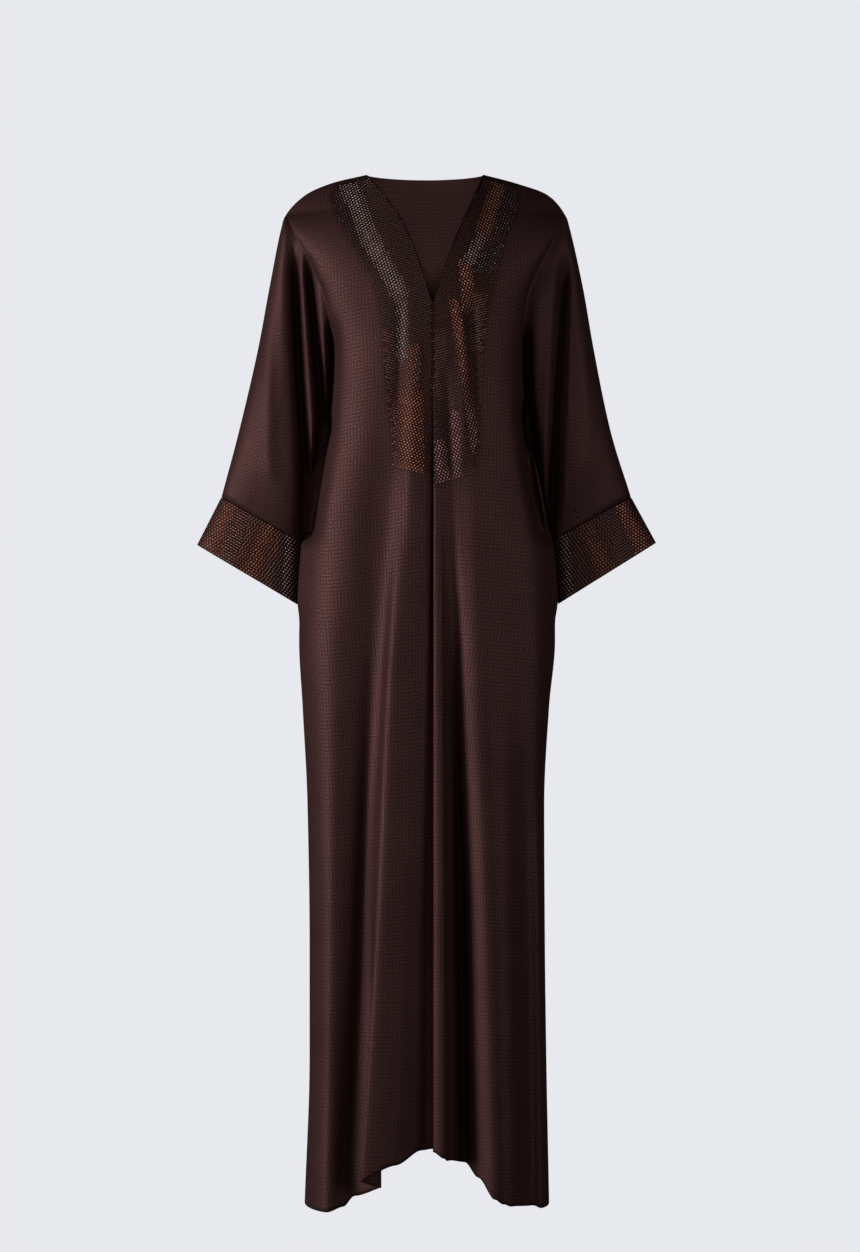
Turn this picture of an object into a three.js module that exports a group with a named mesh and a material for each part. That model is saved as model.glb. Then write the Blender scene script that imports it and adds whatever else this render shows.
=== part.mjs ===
import * as THREE from 'three';

// Long kaftan dress, filled out as worn, with no wearer. The cloth is a thin wall, open at the
// neck, the cuffs and the hem. Millimetres, +Z up. The front faces -Y, and left is the viewer's
// left, -X. The origin is between the two neck points, where the shoulders carry the dress.
// Heights in the tables are drops below the neck points.

// Driving sizes
const wall = 1.6;
const seamGap = 0.3;
const centreX = 7;
const neckDrop = 195;
const tipDrop = 57;
const underarmDrop = 500;
const neckMiddleX = -4;
const neckHalfWidth = 84;
const backNeckDip = 1;
const collarRise = 25;
const shoulderRound = 2;
const sideRound = 2.8;
const sleeveRound = 2.2;
const cuffRound = 2.4;
const cuffHalfDepth = 31;
const riseShape = 0.56;
const sideBulge = 5;
const bulgeDepth = 50;

// The over-arm line seen from the front, from the neck point over the shoulder to the cuff seam
const overArmTable = [
  { at: 'neck', drop: 0, left: -88, right: 80 },
  { at: 'slope', drop: 13, left: -141, right: 129 },
  { at: 'shoulder', drop: 30, left: -177, right: 173 },
  { at: 'tip', drop: 57, left: -203, right: 196 },
  { at: 'cap', drop: 79, left: -210, right: 203 },
  { at: 'upper arm', drop: 164, left: -227, right: 222 },
  { at: 'elbow', drop: 250, left: -243, right: 237 },
  { at: 'forearm', drop: 370, left: -271, right: 262 },
  { at: 'cuff', drop: 460, left: -295, right: 290 },
];

// The neck edge of each front, which becomes the centre-front seam at the foot of the V
const neckTable = [
  { drop: 0, left: -88, right: 80 },
  { drop: 51, left: -50, right: 60 },
  { drop: 97, left: -25, right: 39.5 },
  { drop: 195, left: 7, right: 7 },
];

// Where the body ends at each side: the groove between body and sleeve, then the side seam
const sideTable = [
  { drop: 57, left: -203, right: 196 },
  { drop: 90, left: -188, right: 181 },
  { drop: 130, left: -166, right: 160 },
  { drop: 182, left: -146, right: 140 },
  { drop: 265, left: -134, right: 134 },
  { drop: 371, left: -144, right: 146 },
  { drop: 435, left: -159, right: 159 },
  { drop: 500, left: -173, right: 171 },
  { drop: 608, left: -182, right: 181 },
  { drop: 665, left: -184, right: 181.5 },
  { drop: 760, left: -179, right: 173 },
  { drop: 900, left: -172, right: 166 },
  { drop: 1100, left: -169, right: 167 },
  { drop: 1260, left: -169, right: 169 },
  { drop: 1466, left: -176, right: 173 },
];

// How far the cloth stands off the side seams' plane, on the body at its middle
const bodyDepthTable = [
  { drop: 0, front: 112, back: 94 },
  { drop: 182, front: 113, back: 96 },
  { drop: 270, front: 118, back: 97 },
  { drop: 380, front: 114, back: 97 },
  { drop: 500, front: 108, back: 99 },
  { drop: 750, front: 107, back: 103 },
  { drop: 1050, front: 111, back: 109 },
  { drop: 1466, front: 117, back: 118 },
];

// Drop over which the chest and the back reach their full depth
const riseDrop = { front: 250, back: 165 };

// The same on the sleeves at their fullest, and in the groove between sleeve and body
const sleeveDepthTable = [
  { drop: 57, full: 0, groove: 0 },
  { drop: 66, full: 21, groove: 19 },
  { drop: 90, full: 38, groove: 38 },
  { drop: 125, full: 47, groove: 49 },
  { drop: 175, full: 50, groove: 51 },
  { drop: 265, full: 50, groove: 36 },
  { drop: 371, full: 46, groove: 17 },
  { drop: 450, full: 41, groove: 9 },
  { drop: 488, full: 36, groove: 6 },
  { drop: 500, full: 35, groove: 0 },
  { drop: 530, full: 32, groove: 0 },
];

// Cuff corners seen from the front: the seam's inner end, and the open edge's two ends
const cuffCorners = {
  left: { seamX: -178.5, seamDrop: 526, outX: -330, outDrop: 529, inX: -186, inDrop: 614 },
  right: { seamX: 177, seamDrop: 522, outX: 326, outDrop: 526, inX: 186, inDrop: 613 },
};

// Lengthwise folds of the fronts. Each guide line is a crest, a trough or a turned edge: its x
// and how far it stands out of the plain form at four drops, the hem's drop on it, and the
// number of columns up to the next guide.
const foldDrops = [500, 750, 1050, 1400];
const leftGuides = [
  { name: 'centre', x: [7, 7, 7, 7], out: [-7, -11, -16, -20], hem: 1377, columns: 1 },
  { name: 'recess', x: [-5, -5, -7, -10], out: [4, -4, -11, -18], hem: 1379, columns: 2 },
  { name: 'fold face', x: [-26, -30, -38, -46], out: [7, 8, 8, 8], hem: 1396, columns: 2 },
  { name: 'fold edge', x: [-46, -57, -70, -93], out: [3, 11, 14, 20], hem: 1418, columns: 3 },
  { name: 'under turn', x: [-64, -74, -84, -66], out: [-5, -12, -20, -8], hem: 1430, columns: 3 },
  { name: 'valley', x: [-80, -93, -99, -110], out: [-5, -15, -27, -26], hem: 1446, columns: 2 },
  { name: 'roll face', x: [-110, -112, -114, -124], out: [1, -5, -13, -15], hem: 1460, columns: 2 },
  { name: 'roll', x: [-142, -142, -140, -144], out: [3, 6, 9, 10], hem: 1466, columns: 4 },
  { name: 'side', x: null, out: [0, 0, 0, 0], hem: 1466, columns: 0 },
];
const rightGuides = [
  { name: 'centre', x: [7, 7, 7, 7], out: [-7, -11, -16, -20], hem: 1377, columns: 1 },
  { name: 'pleat edge', x: [9, 9, 9, 9], out: [1, 4, 6, 6], hem: 1378, columns: 1 },
  { name: 'pleat face', x: [16, 17, 18, 19], out: [1, 4, 6, 7], hem: 1386, columns: 1 },
  { name: 'pleat back', x: [25, 26, 29, 31], out: [-2, -5, -11, -13], hem: 1393, columns: 2 },
  { name: 'trough', x: [35, 38, 47, 51], out: [-5, -23, -42, -46], hem: 1400, columns: 2 },
  { name: 'edge', x: [47, 53, 62, 71], out: [-2, -4, -8, -8], hem: 1416, columns: 2 },
  { name: 'crest', x: [65, 72, 83, 93], out: [2, 5, 8, 10], hem: 1444, columns: 1 },
  { name: 'dip', x: [82, 88, 98, 106], out: [0, 1, 4, 6], hem: 1452, columns: 1 },
  { name: 'thin crest', x: [101, 105, 111, 117], out: [0, 0, 3, 4], hem: 1456, columns: 2 },
  { name: 'recess', x: [124, 127, 131, 136], out: [0, -2, -7, -9], hem: 1461, columns: 2 },
  { name: 'roll', x: [152, 154, 152, 156], out: [1, 3, 4, 5], hem: 1465, columns: 4 },
  { name: 'side', x: null, out: [0, 0, 0, 0], hem: 1466, columns: 0 },
];
const backGuides = [
  { name: 'left side', x: null, out: [0, 0, 0, 0], hem: 1466, columns: 4 },
  { name: 'left roll', x: [-156, -160, -154, -156], out: [0, 2, 4, 4], hem: 1462, columns: 2 },
  { name: 'left dip', x: [-124, -126, -126, -128], out: [-1, -4, -8, -9], hem: 1446, columns: 2 },
  { name: 'left fold', x: [-98, -98, -98, -100], out: [2, 6, 10, 12], hem: 1432, columns: 2 },
  { name: 'left neck', x: [-73.85, -70, -68, -68], out: [0, -4, -9, -11], hem: 1422, columns: 2 },
  { name: 'left fan', x: [-34, -34, -34, -36], out: [2, 4, 8, 10], hem: 1408, columns: 2 },
  { name: 'middle', x: [2, 2, -2, -4], out: [-2, -5, -9, -10], hem: 1400, columns: 2 },
  { name: 'right fan', x: [36, 34, 34, 36], out: [1, 5, 9, 11], hem: 1410, columns: 2 },
  { name: 'right neck', x: [70.99, 68, 67, 67], out: [0, -3, -7, -10], hem: 1424, columns: 2 },
  { name: 'right fold', x: [98, 96, 96, 99], out: [2, 5, 9, 11], hem: 1436, columns: 2 },
  { name: 'right dip', x: [123, 123, 124, 127], out: [-1, -4, -7, -8], hem: 1448, columns: 2 },
  { name: 'right roll', x: [154, 154, 150, 154], out: [0, 2, 4, 4], hem: 1462, columns: 4 },
  { name: 'right side', x: null, out: [0, 0, 0, 0], hem: 1466, columns: 0 },
];
const foldStartDrop = 290;

// Creases that fan out from the shoulder tips down to the underarms: x at the top, the middle
// and the foot, with the drops of these, and the height of the crease (a groove is negative)
const creases = [
  { on: 'front', topX: -199, midX: -189, footX: -176, top: 84, mid: 300, foot: 500, high: -9, wide: 10 },
  { on: 'front', topX: -185, midX: -177, footX: -158, top: 90, mid: 265, foot: 432, high: 5, wide: 8 },
  { on: 'front', topX: -176, midX: -164, footX: -154, top: 115, mid: 255, foot: 390, high: -6, wide: 7 },
  { on: 'front', topX: 196, midX: 187, footX: 172, top: 92, mid: 290, foot: 470, high: -8, wide: 10 },
  { on: 'front', topX: 182, midX: 170, footX: 158, top: 100, mid: 250, foot: 400, high: 4, wide: 9 },
  { on: 'back', topX: -198, midX: -186, footX: -174, top: 86, mid: 290, foot: 490, high: -8, wide: 10 },
  { on: 'back', topX: -180, midX: -168, footX: -158, top: 100, mid: 255, foot: 420, high: 5, wide: 9 },
  { on: 'back', topX: 193, midX: 184, footX: 172, top: 92, mid: 300, foot: 480, high: -8, wide: 10 },
  { on: 'back', topX: 178, midX: 166, footX: 157, top: 104, mid: 260, foot: 410, high: 5, wide: 9 },
];

const neckRows = 6;
const chestRows = 5;
const skirtRows = 13;
const sleeveColumns = 10;
const cuffRows = 3;
const cuffColumns = 15;

const cloth = { colour: 0x3b2725, roughness: 0.5, metalness: 0.0 };
const studdedCloth = { colour: 0x4a2e22, roughness: 0.45, metalness: 0.25 };

const mix = (a, b, t) => a + (b - a) * t;
const ease = (t) => {
  const s = Math.min(Math.max(t, 0), 1);
  return s * s * (3 - 2 * s);
};
const roundOff = (t, power) => (1 - Math.min(Math.abs(t), 1) ** power) ** (1 / power);

// Value of a column at a drop, smooth between the rows and level past both ends
function fromTable(rows, key, drop) {
  const last = rows.length - 1;
  if (drop <= rows[0].drop) return rows[0][key];
  if (drop >= rows[last].drop) return rows[last][key];
  let k = 0;
  while (drop > rows[k + 1].drop) k += 1;
  const gradient = (j) => (rows[j + 1][key] - rows[j][key]) / (rows[j + 1].drop - rows[j].drop);
  const slope = (j) => {
    if (j === 0) return gradient(0);
    if (j === last) return gradient(last - 1);
    const before = gradient(j - 1);
    const after = gradient(j);
    return before * after > 0 ? (2 * before * after) / (before + after) : 0;
  };
  const span = rows[k + 1].drop - rows[k].drop;
  const t = (drop - rows[k].drop) / span;
  const rest = 1 - t;
  return rest * rest * (1 + 2 * t) * rows[k][key] + t * t * (3 - 2 * t) * rows[k + 1][key]
    + rest * rest * t * span * slope(k) - t * t * rest * span * slope(k + 1);
}

const overArm = {};
for (const side of ['left', 'right']) {
  const points = overArmTable.map((row) => new THREE.Vector3(row[side], 0, -row.drop));
  overArm[side] = new THREE.CatmullRomCurve3(points, false, 'centripetal').getSpacedPoints(160);
}

// The other coordinate of the over-arm line where one coordinate has the given value
function onOverArm(side, key, value) {
  const other = key === 'x' ? 'z' : 'x';
  const line = overArm[side];
  const outward = Math.sign(line[line.length - 1][key] - line[0][key]);
  let k = 0;
  while (k < line.length - 2 && (line[k + 1][key] - value) * outward < 0) k += 1;
  const t = (value - line[k][key]) / (line[k + 1][key] - line[k][key]);
  return mix(line[k][other], line[k + 1][other], t);
}

// Height of the shoulder line above x. Between the neck points it arches over the opening.
function shoulderHeight(x) {
  const across = (x - neckMiddleX) / neckHalfWidth;
  if (Math.abs(across) < 1) return collarRise * (1 - across * across);
  return onOverArm(x < 0 ? 'left' : 'right', 'x', x);
}

const sideX = (side, drop) => fromTable(sideTable, side, drop);

function creaseHeight(face, x, drop) {
  let sum = 0;
  for (const crease of creases.filter((row) => row.on === face)) {
    const t = (drop - crease.top) / (crease.foot - crease.top);
    if (t <= 0 || t >= 1) continue;
    const m = (crease.mid - crease.top) / (crease.foot - crease.top);
    const bend = (crease.midX - mix(crease.topX, crease.footX, m)) / (m * (1 - m));
    const path = mix(crease.topX, crease.footX, t) + bend * t * (1 - t);
    const along = ease(t / 0.2) * ease((1 - t) / 0.15);
    sum += crease.high * along * Math.exp(-(((x - path) / crease.wide) ** 2));
  }
  return sum;
}

// Depth of the cloth on the body, from the plane of the side seams
function bodyDepth(face, side, x, drop) {
  const below = Math.max(shoulderHeight(x) + drop, 0) / riseDrop[face];
  const rise = (1 - (1 - Math.min(below, 1)) ** 2) ** riseShape;
  const full = fromTable(bodyDepthTable, face, drop) * rise;
  const groove = drop < underarmDrop ? fromTable(sleeveDepthTable, 'groove', drop) : 0;
  const toSide = (x - centreX) / (sideX(side, drop) - centreX);
  const roundness = mix(shoulderRound, sideRound, ease((drop - 110) / 260));
  return mix(groove, full, roundOff(toSide, roundness));
}

// Depth of the cloth on a sleeve. The inner half sinks to the groove beside the body.
function sleeveDepth(side, x, drop) {
  const corner = cuffCorners[side];
  const outer = onOverArm(side, 'z', -drop);
  let inner = sideX(side, Math.min(drop, underarmDrop));
  if (drop > underarmDrop) {
    const t = (drop - underarmDrop) / (corner.seamDrop - underarmDrop);
    inner = mix(inner, corner.seamX, t);
  }
  const across = Math.min(Math.max((x - outer) / (inner - outer), 0), 1);
  const full = fromTable(sleeveDepthTable, 'full', drop);
  const groove = drop < underarmDrop ? fromTable(sleeveDepthTable, 'groove', drop) : 0;
  const floor = across > 0.5 ? groove : 0;
  return mix(floor, full, roundOff(2 * across - 1, sleeveRound));
}

// Plain share of the width that each guide keeps above the underarm
function guideShare(guides, guide) {
  if (guides === backGuides) {
    if (!guide.x) return guide.name === 'left side' ? 0 : 1;
    const left = sideX('left', underarmDrop);
    return (guide.x[0] - left) / (sideX('right', underarmDrop) - left);
  }
  if (!guide.x) return 1;
  const side = guides === leftGuides ? 'left' : 'right';
  return (guide.x[0] - centreX) / (sideX(side, underarmDrop) - centreX);
}

// The two ends of a row at a drop: neck edge or centre seam to side, or side to side
function rowEnds(guides, drop) {
  if (guides === backGuides) return [sideX('left', drop), sideX('right', drop)];
  const side = guides === leftGuides ? 'left' : 'right';
  return [fromTable(neckTable, side, drop), sideX(side, drop)];
}

// Point of a body row at a guide number, which may lie between two guides
function alongRow(guides, place, drop) {
  const [start, end] = rowEnds(guides, drop);
  const points = guides.map((guide) => {
    let x = mix(start, end, guideShare(guides, guide));
    let out = 0;
    if (drop > underarmDrop && guide.x) {
      x = fromTable(guide.x.map((value, k) => ({ drop: foldDrops[k], value })), 'value', drop);
    }
    if (drop > foldStartDrop) {
      const rows = [{ drop: foldStartDrop, value: 0 }];
      guide.out.forEach((value, k) => rows.push({ drop: foldDrops[k], value }));
      out = fromTable(rows, 'value', drop);
    }
    return new THREE.Vector3(x, out, 0);
  });
  const curve = new THREE.CatmullRomCurve3(points, false, 'centripetal');
  return curve.getPoint(place / (guides.length - 1));
}

// Columns of a body panel as guide numbers, closer together where the cloth turns at the sides
function bodyColumns(guides) {
  const turned = [0, 0.42, 0.75, 0.93];
  const columns = [];
  guides.forEach((guide, k) => {
    for (let j = 0; j < guide.columns; j += 1) {
      let t = j / guide.columns;
      if (guide.columns === turned.length) t = k === 0 ? 1 - turned[turned.length - j] || 0 : turned[j];
      columns.push(k + t);
    }
  });
  columns.push(guides.length - 1);
  return columns;
}

// Drop at which a column meets the shoulder line, or on the back the neck edge
function topDrop(guides, place) {
  let drop = 0;
  for (let k = 0; k < 30; k += 1) {
    const x = alongRow(guides, place, drop).x;
    const across = (x - neckMiddleX) / neckHalfWidth;
    if (Math.abs(across) >= 1) drop = -onOverArm(x < 0 ? 'left' : 'right', 'x', x);
    else drop = guides === backGuides ? backNeckDip * (1 - across * across) : 0;
    drop = Math.min(Math.max(drop, 0), tipDrop);
  }
  return drop;
}

function hemDrop(guides, place) {
  const k = Math.min(Math.floor(place), guides.length - 2);
  return mix(guides[k].hem, guides[k + 1].hem, ease(place - k));
}

// Drop of a row on a body column, from the shoulder past the V and the underarm to the hem
function rowDrop(guides, place, row) {
  const top = topDrop(guides, place);
  if (row <= neckRows) return mix(top, neckDrop, 1 - Math.cos((Math.PI / 2) * (row / neckRows)));
  const chest = row - neckRows;
  if (chest <= chestRows) return mix(neckDrop, underarmDrop, chest / chestRows);
  return mix(underarmDrop, hemDrop(guides, place), (chest - chestRows) / skirtRows);
}

const upperRows = neckRows + chestRows;
const offNeck = (x) => Math.abs(x - neckMiddleX) > neckHalfWidth - 0.5;
const outwards = { front: -1, back: 1 };

// Point of the body cloth, outer face
function bodyPoint(face, guides, place, row) {
  const drop = rowDrop(guides, place, row);
  const at = alongRow(guides, place, drop);
  const side = at.x < centreX ? 'left' : 'right';
  const plain = bodyDepth(face, side, at.x, drop);
  const depth = plain + at.y + creaseHeight(face, at.x, drop);
  let x = at.x;
  if (face === 'front') {
    const height = ease((drop - underarmDrop) / 15) * ease((645 - drop) / 40);
    const swell = Math.max(1 - ((plain - bulgeDepth / 2) / (bulgeDepth / 2)) ** 2, 0);
    x += (side === 'left' ? -1 : 1) * sideBulge * height * swell;
  }
  const onSeam = place === guides.length - 1 || (guides === backGuides && place === 0);
  const onShoulder = row === 0 && offNeck(at.x);
  const sideSeam = onSeam && row >= upperRows;
  const y = sideSeam || onShoulder ? seamGap / 2 : Math.max(depth, seamGap / 2);
  return new THREE.Vector3(x, outwards[face] * y, -drop);
}

// Point of a sleeve's cloth. Columns fan from the groove beside the body round to the cuff seam.
function sleevePoint(face, side, fan, row) {
  const corner = cuffCorners[side];
  const line = overArm[side];
  const tip = line.findIndex((point) => -point.z >= tipDrop);
  const number = mix(tip, line.length - 1, fan);
  const k = Math.min(Math.floor(number), line.length - 2);
  const top = new THREE.Vector3().lerpVectors(line[k], line[k + 1], number - k);
  if (fan === 0) top.set(sideX(side, tipDrop), 0, -tipDrop);
  const foot = new THREE.Vector3(
    mix(sideX(side, underarmDrop), corner.seamX, fan),
    0,
    -mix(underarmDrop, corner.seamDrop, fan),
  );
  let drop = mix(tipDrop, neckDrop, 1 - Math.cos((Math.PI / 2) * Math.min(row / neckRows, 1)));
  if (row > neckRows) drop = mix(neckDrop, underarmDrop, (row - neckRows) / chestRows);
  const grooveShare = (drop - tipDrop) / (underarmDrop - tipDrop);
  const ovalShare = (1 - Math.cos((Math.PI * row) / upperRows)) / 2;
  const share = mix(grooveShare, ovalShare, ease(fan * 1.4));
  const grooveDrop = mix(tipDrop, underarmDrop, share);
  const straight = mix(sideX(side, tipDrop), sideX(side, underarmDrop), share);
  const bow = (sideX(side, grooveDrop) - straight) * (1 - fan) ** 1.6;
  const x = mix(top.x, foot.x, share) + bow;
  const z = mix(top.z, foot.z, share);
  const plain = sleeveDepth(side, x, -z) + creaseHeight(face, x, -z);
  const banded = cuffHalfDepth * roundOff(2 * share - 1, cuffRound);
  const onSeam = row === 0 || row === upperRows;
  const depth = mix(plain, banded, ease((fan - 0.7) / 0.3));
  const y = onSeam ? seamGap / 2 : Math.max(depth, seamGap / 2);
  return new THREE.Vector3(x, outwards[face] * y, z);
}

// Closed cloth wall from a grid of outer points. Missing points leave the grid open there.
// keep says, for a point of the grid, in which plane its thickness must stay.
function clothWall(grid, keep, wrapped = false) {
  const rows = grid.length;
  const columns = grid[0].length;
  const next = (i) => (wrapped ? (i + 1) % columns : i + 1);
  const outer = [];
  const number = grid.map((line) => line.map((point) => (point ? outer.push(point) - 1 : -1)));
  const cells = [];
  for (let j = 0; j + 1 < rows; j += 1) {
    for (let i = 0; i < (wrapped ? columns : columns - 1); i += 1) {
      const corners = [number[j][i], number[j][next(i)], number[j + 1][next(i)], number[j + 1][i]];
      if (corners.every((corner) => corner >= 0)) cells.push(corners);
    }
  }
  const faces = [];
  for (const [a, b, c, d] of cells) {
    const shortAC = outer[a].distanceTo(outer[c]) <= outer[b].distanceTo(outer[d]);
    if (shortAC) faces.push([a, b, c], [a, c, d]);
    else faces.push([a, b, d], [b, c, d]);
  }
  const normals = outer.map(() => new THREE.Vector3());
  for (const [a, b, c] of faces) {
    const one = new THREE.Vector3().subVectors(outer[b], outer[a]);
    const two = new THREE.Vector3().subVectors(outer[c], outer[a]);
    const cross = one.cross(two).normalize();
    for (const corner of [a, b, c]) normals[corner].add(cross);
  }
  const inner = outer.map(() => null);
  grid.forEach((line, j) => line.forEach((point, i) => {
    if (!point) return;
    const normal = normals[number[j][i]];
    for (const across of keep(j, i)) normal.addScaledVector(across, -normal.dot(across));
    inner[number[j][i]] = point.clone().addScaledVector(normal.normalize(), -wall);
  }));
  const count = outer.length;
  const triangles = [];
  for (const [a, b, c] of faces) triangles.push([a, b, c], [a + count, c + count, b + count]);
  const used = new Map();
  for (const corners of cells) {
    corners.forEach((from, k) => used.set(`${from},${corners[(k + 1) % 4]}`, [from, corners[(k + 1) % 4]]));
  }
  for (const [from, to] of used.values()) {
    if (used.has(`${to},${from}`)) continue;
    triangles.push([from, from + count, to], [to, from + count, to + count]);
  }
  const points = [...outer, ...inner];
  let volume = 0;
  for (const [a, b, c] of triangles) {
    volume += points[a].dot(new THREE.Vector3().crossVectors(points[b], points[c]));
  }
  const index = triangles.flatMap(([a, b, c]) => (volume > 0 ? [a, b, c] : [a, c, b]));
  if (volume < 0) throw new Error('the outer points run the wrong way round');
  const geometry = new THREE.BufferGeometry();
  geometry.setAttribute('position', new THREE.Float32BufferAttribute(points.flatMap((p) => p.toArray()), 3));
  geometry.setIndex(index);
  geometry.computeVertexNormals();
  return geometry;
}

const alongX = new THREE.Vector3(1, 0, 0);
const alongY = new THREE.Vector3(0, 1, 0);

// Direction of a sleeve at its end, square to the cuff seam
function cuffAxis(side) {
  const corner = cuffCorners[side];
  const end = overArmTable[overArmTable.length - 1];
  const seam = new THREE.Vector3(corner.seamX - end[side], 0, end.drop - corner.seamDrop);
  return seam.cross(alongY).normalize();
}

const fans = Array.from({ length: sleeveColumns }, (unused, k) => ((k + 1) / sleeveColumns) ** 1.5);

function sleeveLine(face, side, row) {
  return fans.map((fan) => (row <= upperRows ? sleevePoint(face, side, fan, row) : null));
}

// One front, cut in one with the front of its sleeve
function frontPanel(side) {
  const guides = side === 'left' ? leftGuides : rightGuides;
  const columns = bodyColumns(guides);
  const outward = side === 'left' ? -1 : 1;
  const grid = [];
  for (let row = 0; row <= upperRows + skirtRows; row += 1) {
    const body = columns.map((place) => bodyPoint('front', guides, place, row));
    body[0].x += (outward * seamGap) / 2;
    const line = [...body, ...sleeveLine('front', side, row)];
    grid.push(side === 'left' ? line.reverse() : line);
  }
  const across = grid[0].length - 1;
  const keep = (row, i) => {
    const column = side === 'left' ? across - i : i;
    const planes = [];
    if (column === 0 && row >= neckRows) planes.push(alongX);
    const sleeve = column >= columns.length - 1;
    if (row === 0 || (sleeve && row >= upperRows)) planes.push(alongY);
    if (column === across) planes.push(cuffAxis(side));
    return planes;
  };
  return clothWall(grid.reverse(), (row, i) => keep(upperRows + skirtRows - row, i));
}

// The back, cut in one with the backs of both sleeves
function backPanel() {
  const columns = bodyColumns(backGuides);
  const grid = [];
  for (let row = 0; row <= upperRows + skirtRows; row += 1) {
    grid.push([
      ...sleeveLine('back', 'left', row).reverse(),
      ...columns.map((place) => bodyPoint('back', backGuides, place, row)),
      ...sleeveLine('back', 'right', row),
    ]);
  }
  const across = grid[0].length - 1;
  const keep = (row, i) => {
    const planes = [];
    const shoulder = row === 0 && offNeck(grid[row][i].x);
    const sleeve = i <= sleeveColumns || i >= across - sleeveColumns;
    if (shoulder || (sleeve && row >= upperRows)) planes.push(alongY);
    if (i === 0) planes.push(cuffAxis('left'));
    if (i === across) planes.push(cuffAxis('right'));
    return planes;
  };
  return clothWall(grid, keep);
}

// A cuff: one straight band, set on the sleeve end with the seam's gap
function cuff(side) {
  const corner = cuffCorners[side];
  const end = overArmTable[overArmTable.length - 1];
  const axis = cuffAxis(side);
  if (axis.z > 0) axis.negate();
  const seamOuter = new THREE.Vector3(end[side], 0, -end.drop).addScaledVector(axis, seamGap);
  const seamInner = new THREE.Vector3(corner.seamX, 0, -corner.seamDrop).addScaledVector(axis, seamGap);
  const openOuter = new THREE.Vector3(corner.outX, 0, -corner.outDrop);
  const openInner = new THREE.Vector3(corner.inX, 0, -corner.inDrop);
  const grid = [];
  for (let row = 0; row <= cuffRows; row += 1) {
    const outer = new THREE.Vector3().lerpVectors(seamOuter, openOuter, row / cuffRows);
    const inner = new THREE.Vector3().lerpVectors(seamInner, openInner, row / cuffRows);
    const line = [];
    for (let k = 0; k < 2 * cuffColumns; k += 1) {
      const angle = (Math.PI * k) / cuffColumns;
      const share = (1 - Math.cos(angle)) / 2;
      const point = new THREE.Vector3().lerpVectors(outer, inner, share);
      point.y = -Math.sign(Math.sin(angle)) * cuffHalfDepth * roundOff(2 * share - 1, cuffRound);
      if (k % cuffColumns === 0) point.y = 0;
      line.push(point);
    }
    grid.push(side === 'left' ? line : line.reverse());
  }
  const keep = (row) => (row === 0 ? [axis] : []);
  return clothWall(grid, keep, true);
}

const dress = new THREE.Group();

function addPiece(name, geometry, finish) {
  const material = new THREE.MeshStandardMaterial({
    color: finish.colour,
    roughness: finish.roughness,
    metalness: finish.metalness,
  });
  const mesh = new THREE.Mesh(geometry, material);
  mesh.name = name;
  dress.add(mesh);
}

addPiece('front_left', frontPanel('left'), cloth);
addPiece('front_right', frontPanel('right'), cloth);
addPiece('back', backPanel(), cloth);
addPiece('cuff_left', cuff('left'), studdedCloth);
addPiece('cuff_right', cuff('right'), studdedCloth);

export default dress;
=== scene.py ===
import bisect
import math
import random
import bmesh
import bpy
from mathutils import Matrix, Vector
from mathutils.bvhtree import BVHTree


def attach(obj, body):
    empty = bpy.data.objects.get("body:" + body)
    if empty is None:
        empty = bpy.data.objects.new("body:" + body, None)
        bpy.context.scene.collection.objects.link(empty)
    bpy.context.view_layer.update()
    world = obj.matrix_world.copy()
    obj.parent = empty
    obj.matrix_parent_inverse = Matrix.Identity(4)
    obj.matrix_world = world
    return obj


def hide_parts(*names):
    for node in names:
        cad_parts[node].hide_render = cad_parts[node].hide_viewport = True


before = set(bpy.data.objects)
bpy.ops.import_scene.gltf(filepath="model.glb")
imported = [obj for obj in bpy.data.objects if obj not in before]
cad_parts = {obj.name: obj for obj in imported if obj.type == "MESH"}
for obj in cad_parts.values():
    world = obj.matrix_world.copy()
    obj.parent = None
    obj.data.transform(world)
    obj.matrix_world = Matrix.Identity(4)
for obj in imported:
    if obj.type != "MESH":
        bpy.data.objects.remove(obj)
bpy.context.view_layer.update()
mm = 0.001

# Camera and stage first. Lengths are in metres, colours are linear.
camera = {
    "distance": 4.55,
    "height": -0.6450,
    "side": 0.0029,
    "tall": 1.7904,  # height of the picture at the dress
}
stage = {
    "floor": -1.72,
    "wide": 7.0,
    "front": -7.0,
    "bend": 2.2,
    "radius": 0.9,
    "top": 3.4,
    "pale": (0.807, 0.815, 0.855, 1.0),  # as the camera sees it
    "matt": (0.14, 0.14, 0.145, 1.0),  # as it lights the dress
}
lights = {
    # name: place, aims at, width, height, watts, colour
    "key": ((-3.619, -1.611, -0.093), (0.0, 0.0, -0.65), 1.2, 2.4, 62.0, (1.0, 1.0, 1.0)),
    "keyFront": ((-2.650, -2.944, -0.093), (0.0, 0.0, -0.65), 1.4, 2.4, 10.0, (1.0, 1.0, 1.0)),
    "fill": ((2.944, -2.650, -0.093), (0.0, 0.0, -0.65), 1.6, 2.4, 16.0, (1.0, 1.0, 1.0)),
    "front": ((0.225, -4.298, 0.265), (0.0, 0.0, -0.65), 1.6, 1.6, 3.0, (1.0, 1.0, 1.0)),
}
worldGrey = 0.01
# lights only the inside of the back
neckLight = {
    "place": (-0.22, -1.2, 0.45),
    "aim": (-0.01, 0.09, 0.125),
    "radius": 0.20,
    "watts": 180.0,
    "cone": 12.0,  # degrees
}


def addObject(name, data):
    obj = bpy.data.objects.new(name, data)
    bpy.context.scene.collection.objects.link(obj)
    return obj


def pointAt(obj, place, aim):
    obj.location = place
    obj.rotation_euler = (Vector(aim) - Vector(place)).to_track_quat("-Z", "Y").to_euler()


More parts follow.
